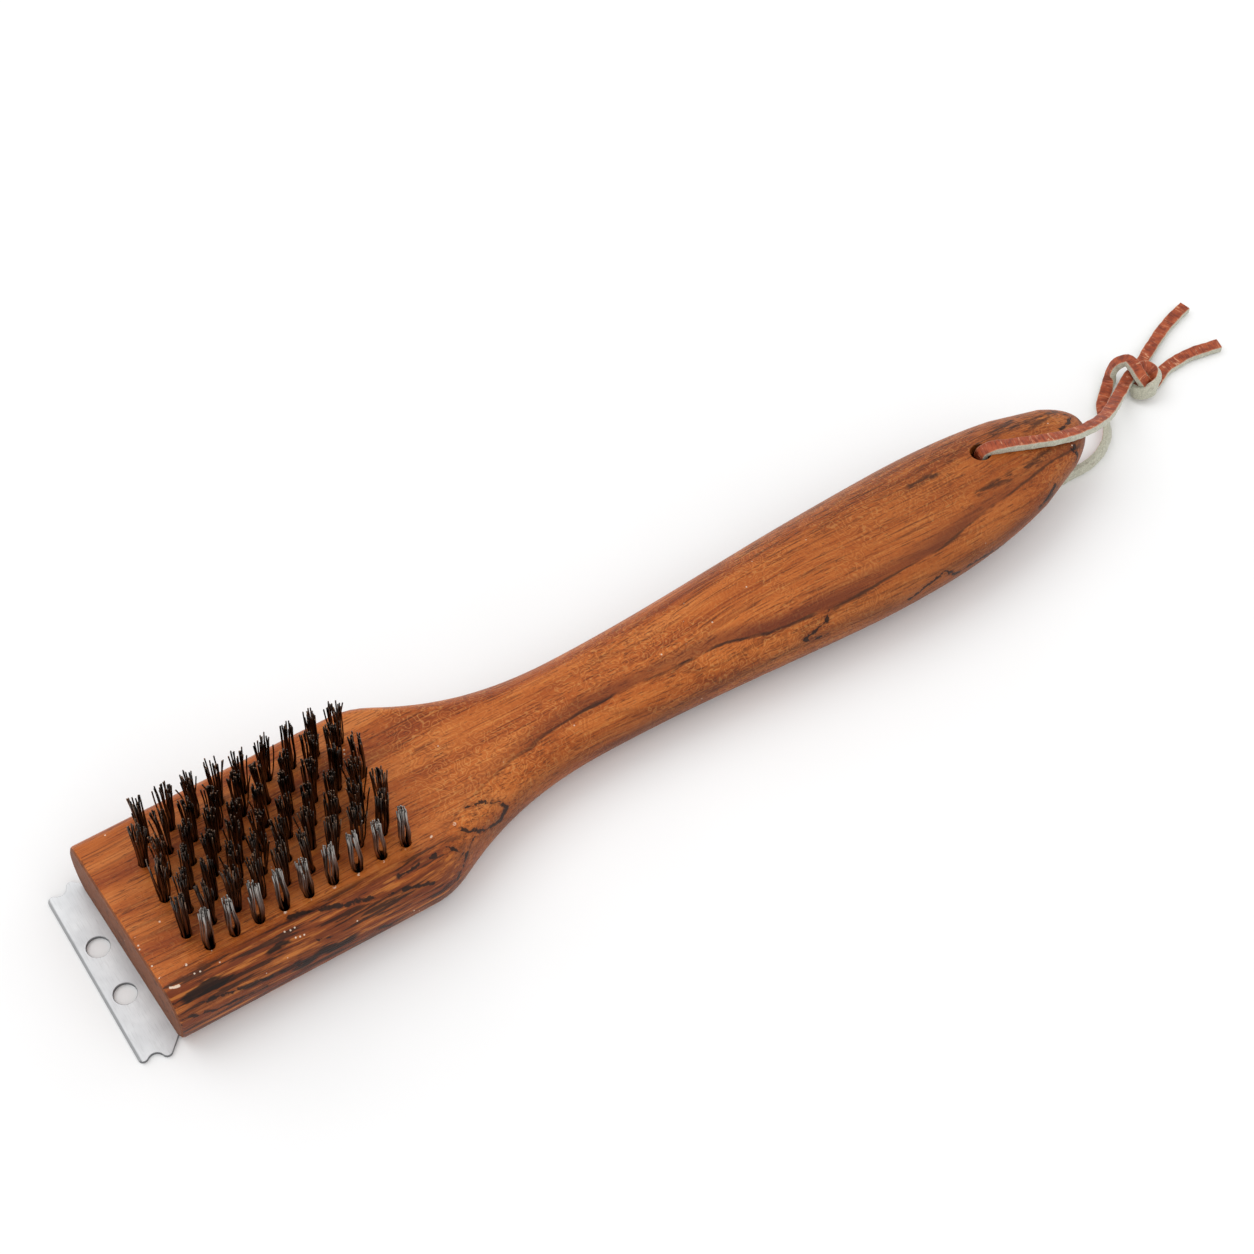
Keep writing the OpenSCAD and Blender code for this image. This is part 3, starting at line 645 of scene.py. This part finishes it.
# each point: place from the hole's axis at table height, and the way the grain side faces
lace_route = [
    # the outer tail, from its cut end to the knot
    (87.5, 24.1, 1.15, 0, 0, 1), (83.5, 23, 1.1, 0, 0, 1), (77.8, 20.9, 1.2, 0, 0, 1),
    (71.8, 17.9, 1.5, 0, 0, 1), (67.3, 15.5, 1.6, 0, 0, 1), (63.7, 13.4, 1.4, 0, 0, 1),
    (60.8, 11.5, 1.2, 0, 0, 1),
    # the knot's ring
    (58.5, 9.7, 1.8, 0.5, -0.2, 0.85), (57.6, 7.4, 2.2, 0.95, 0.1, 0),
    (58.5, 5.4, 3, 0.45, 0.75, -0.5), (60.6, 4.8, 3.7, -0.1, 0.9, -0.35),
    (62.9, 6, 4.2, -0.65, 0.65, 0.35), (64.3, 8.3, 4.6, -0.6, 0.1, 0.8),
    (63.7, 10.6, 4.8, -0.25, -0.3, 0.9), (61.7, 11.6, 4.5, 0, -0.05, 1),
    (59.1, 11.2, 4.2, 0, 0, 1),
    # the upper strand, back to the hole's top mouth
    (55.7, 9.5, 4.4, 0, 0.1, 1), (52.2, 7.2, 5.6, 0.1, 0, 1), (48.4, 4.5, 7.8, 0, 0.1, 1),
    (43.4, 0.9, 11, 0, 0.15, 1), (38, -2.5, 14.4, 0, 0.2, 1), (32, -5.1, 18, 0, 0.22, 1),
    (26.1, -6.3, 20.3, 0, 0.25, 1), (20, -6.1, 21.9, 0, 0.22, 1),
    (14.7, -4.9, 22.8, 0, 0.2, 1), (9.7, -3.3, 23.3, 0, 0.2, 1), (5.7, -2, 23.7, 0, 0.15, 1),
    (3, -1, 23.8, -0.3, 0.1, 0.95), (1.1, -0.3, 23.2, -0.75, 0.05, 0.7),
    # down through the handle
    (0.3, 0, 21.8, -1, 0, 0.1), (0.2, 0, 18, -1, 0, 0), (0.4, 0, 8, -1, 0, 0),
    (0.7, 0, 3.6, -1, 0, -0.2), (2.3, 0, 1.9, -0.7, 0, -0.7),
    # the lower strand, on the table under the tip, on edge and then flat again
    (5, -0.4, 1.4, 0, 0, -1), (11, -2.4, 1.42, 0, 0.2, -1), (18.8, -5.1, 1.8, 0, 0.6, -0.8),
    (26.7, -5.6, 1.95, -0.1, 0.95, -0.3), (32.7, -5.4, 1.95, -0.5, 0.83, -0.26),
    (37.7, -3.9, 1.95, -0.68, 0.68, -0.26), (41.9, -1.1, 1.95, -0.78, 0.5, -0.35),
    (44.4, 2, 1.9, -0.75, 0.45, -0.4), (46.2, 5.6, 1.85, -0.55, 0.1, 0.8),
    (48.2, 8.9, 1.5, -0.1, 0, 1), (51.8, 12, 1.5, 0.1, 0, 1),
    # the knot's band, up over the ring and down through it
    (54.4, 14, 2.3, -0.3, 0.3, 0.9), (55.4, 14.9, 4.2, -0.7, 0.5, 0.5),
    (57, 15, 6.1, -0.5, 0.45, 0.75), (59.2, 13.9, 7.2, 0, 0.15, 1),
    (59.5, 11.4, 7.3, 0.05, 0, 1), (59.2, 9.2, 6.9, 0.1, -0.3, 0.95),
    (59.5, 7.6, 5.8, 0.1, -0.6, 0.8), (60.6, 7.15, 4, 0.1, -0.75, 0.65),
    (62.2, 6.9, 2.3, 0.1, -0.5, 0.85),
    # the inner tail, to its cut end
    (64.4, 7.3, 1.5, 0, -0.1, 1), (68.9, 9.5, 1.2, 0, 0, 1), (73.4, 10.2, 1.2, 0, 0, 1),
    (78.3, 10.3, 1.2, 0, 0, 1), (82.8, 9.6, 1.2, 0, 0, 1), (86.9, 8.9, 1.1, 0, 0, 1)]


def smooth_route(points, step):
    """A smooth curve through the points, with a new point about every step millimetres."""
    points = [np.array(q, float) for q in points]
    out = []
    for i in range(len(points) - 1):
        a, b, c = points[max(0, i - 1)], points[i], points[i + 1]
        d = points[min(len(points) - 1, i + 2)]
        pieces = max(1, round(float(np.linalg.norm((c - b)[:3])) / step))
        for t in np.arange(pieces) / pieces:
            out.append((2 * b + (c - a) * t + (2 * a - 5 * b + 4 * c - d) * t * t
                        + (3 * b - a - 3 * c + d) * t ** 3) / 2)
    return out + [points[-1]]


route = smooth_route(lace_route, route_step)
line = [Vector(q[:3]) + Vector((hole_x, hole_y, 0)) for q in route]
section = []
for cx, cy, a0 in ((1, 1, 0), (-1, 1, 90), (-1, -1, 180), (1, -1, 270)):
    for a in (0, 30, 60, 90):
        q = math.radians(a0 + a)
        section.append((cx * (lace_w / 2 - lace_corner) + lace_corner * math.cos(q),
                        cy * (lace_t / 2 - lace_corner) + lace_corner * math.sin(q)))
n, rand = len(section), random.Random(lace_seed)
verts, run, runs = [], 0.0, []
wave = [rand.uniform(0, 6.28) for k in range(4)]
for i, q in enumerate(line):
    ahead = (line[min(i + 1, len(line) - 1)] - line[max(i - 1, 0)]).normalized()
    up = Vector(route[i][3:])
    up = (up - ahead * up.dot(ahead)).normalized()
    wide = ahead.cross(up)
    run += (q - line[i - 1]).length if i else 0
    runs.append(run)
    # the lower strand is drawn thinner, and the cut wavers a little all along
    beyond = q.x - hole_x
    drawn_thin = 1 - (thinner_by * ease((beyond - thinner_from) / 8)
                      * ease((thinner_until - beyond) / 4) if q.z < 3 else 0)
    broad = (drawn_thin + 0.03 * math.sin(run * 0.9 + wave[0])
             + 0.025 * math.sin(run * 2.3 + wave[1]))
    thick = (drawn_thin + 0.04 * math.sin(run * 1.3 + wave[2])
             + 0.03 * math.sin(run * 3.1 + wave[3]))
    verts += [q + wide * u * broad + up * v * thick for u, v in section]
faces = [(i * n + j, i * n + (j + 1) % n, (i + 1) * n + (j + 1) % n, (i + 1) * n + j)
         for i in range(len(line) - 1) for j in range(n)]
sides = len(faces)
faces += [tuple(range(n - 1, -1, -1)), tuple(range((len(line) - 1) * n, len(line) * n))]
lace = mesh_object("lace", verts, faces)
grain_side = (1, 2, 3, 4, 5)
for i, face in enumerate(lace.data.polygons):
    face.material_index = 0 if i < sides and i % n in grain_side else 1
strip = lace.data.uv_layers.new(name="strip")
for face in lace.data.polygons:
    for corner, vert in zip(face.loop_indices, face.vertices):
        u = section[vert % n][0] if face.index < sides else section[vert % n][1]
        strip.data[corner].uv = (runs[vert // n] * mm, u * mm)
smooth_shade(lace, 50)

# Vegetable-tanned leather, grain side up, dyed red-brown and waxed: fine cross creases
# where it bends, some of them cracked to the paler inside, and a soft sheen.
grain_leather, shader, place = new_material("waxed_grain_leather")
on_strip = add_node("VectorMath", {0: add_node("UVMap", uv_map="strip"), "Scale": 1000.0},
                    operation="SCALE")
mottle = add_node("TexNoise", {
    "Vector": place, "Scale": 0.5, "Detail": 3.0, "Roughness": 0.55})
folds = []
for stretch, shift, scale, middle in (((1.0, 0.12, 1.0), (0.0, 0.0, 0.0), 0.9, 0.5),
                                      ((1.0, 0.15, 1.0), (40.0, 3.0, 0.0), 0.6, 0.47)):
    fold = add_node("Mapping", {"Vector": on_strip, "Scale": stretch, "Location": shift})
    fold = add_node("TexNoise", {
        "Vector": fold, "Scale": scale, "Detail": 2.0, "Roughness": 0.5})
    fold = add_node("Math", (fold, middle), operation="SUBTRACT")
    folds.append(add_node("Math", {0: fold}, operation="ABSOLUTE"))
creases, cracks = share_of((folds[0], 0.045, 0.01)), share_of((folds[1], 0.02, 0.006))
rim = add_node("SeparateXYZ", {0: on_strip}, "Y")
rim = add_node("Math", {0: rim}, operation="ABSOLUTE")
tone = stained(
    add_node("ValToRGB", {0: mottle}, stops=(
        (0.3, "#823416"), (0.5, "#9c4422"), (0.7, "#b2572f"))),
    ("#5c2210", creases, (mottle, 0.6, 0.42, 0.05, 0.5)),
    ("#dba580", cracks, (mottle, 0.46, 0.6, 0.1, 0.7)),
    ("#cf9676", (rim, 1.3, 1.5, 0.0, 0.55)))
rough = add_node("Math", (mottle, 0.25, 0.4), operation="MULTIPLY_ADD")
relief = add_node("Math", (mottle, creases), operation="SUBTRACT")
bump = add_node("Bump", {"Height": relief, "Strength": 0.6, "Distance": 0.0002})
set_inputs(shader, {"Base Color": tone, "IOR": 1.48, "Specular IOR Level": 0.4,
                    "Roughness": rough, "Normal": bump})

# Its cut sides and back: undyed suede, pale grey with a green cast, matt and fibrous.
suede, shader, place = new_material("undyed_suede")
nap = add_node("TexNoise", {"Vector": place, "Scale": 2.6, "Detail": 4.0, "Roughness": 0.65})
soiled = add_node("TexNoise", {
    "Vector": place, "Scale": 0.7, "Detail": 3.0, "Roughness": 0.55})
tone = stained(
    add_node("ValToRGB", {0: nap}, stops=(
        (0.3, "#9a9a88"), (0.55, "#bcbaa8"), (0.75, "#d2cebd"))),
    ("#8a7a66", (soiled, 0.55, 0.75, 0.0, 0.5)))
bump = add_node("Bump", {"Height": nap, "Strength": 0.6, "Distance": 0.0002})
set_inputs(shader, {"Base Color": tone, "Roughness": 0.85, "Sheen Weight": 0.25,
                    "Normal": bump})
lace.data.materials.append(grain_leather)
lace.data.materials.append(suede)
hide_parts("leather_lace")
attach(lace, "root")


# Floor and light: a plain matt white sheet under the brush, an even white surround, and
# two soft boxes, the stronger one behind the brush.
sheet_half = 1500
sheet = mesh_object("floor", [
    (-sheet_half, -sheet_half, 0), (sheet_half, -sheet_half, 0),
    (sheet_half, sheet_half, 0), (-sheet_half, sheet_half, 0)], [(0, 1, 2, 3)])
paper, shader, place = new_material("matt_white_sheet")
tooth = add_node("TexNoise", {"Vector": place, "Scale": 0.012, "Detail": 2.0})
tone = add_node("ValToRGB", {0: tooth}, stops=((0.3, "#f4f4f4"), (0.7, "#f7f7f7")))
set_inputs(shader, {"Base Color": tone, "Roughness": 0.9, "Specular IOR Level": 0.1})
sheet.data.materials.append(paper)

world = bpy.data.worlds.new("studio")
bpy.context.scene.world = world
world.use_nodes = True
set_inputs(world.node_tree.nodes["Background"], {"Color": (1, 1, 1, 1), "Strength": 0.87})


def soft_box(name, place, size, power):
    """A square lamp that looks at the middle of the brush."""
    lamp = bpy.data.objects.new(name, bpy.data.lights.new(name, "AREA"))
    lamp.data.energy, lamp.data.size = power, size
    lamp.location = place
    lamp.rotation_euler = (-Vector(place)).to_track_quat("-Z", "Y").to_euler()
    bpy.context.scene.collection.objects.link(lamp)


soft_box("key_light", (-0.3, 0.6, 1.25), 1.1, 4.9)
soft_box("fill_light", (0.5, -0.7, 1.2), 1.2, 3)
bpy.context.scene.view_settings.view_transform = "Standard"
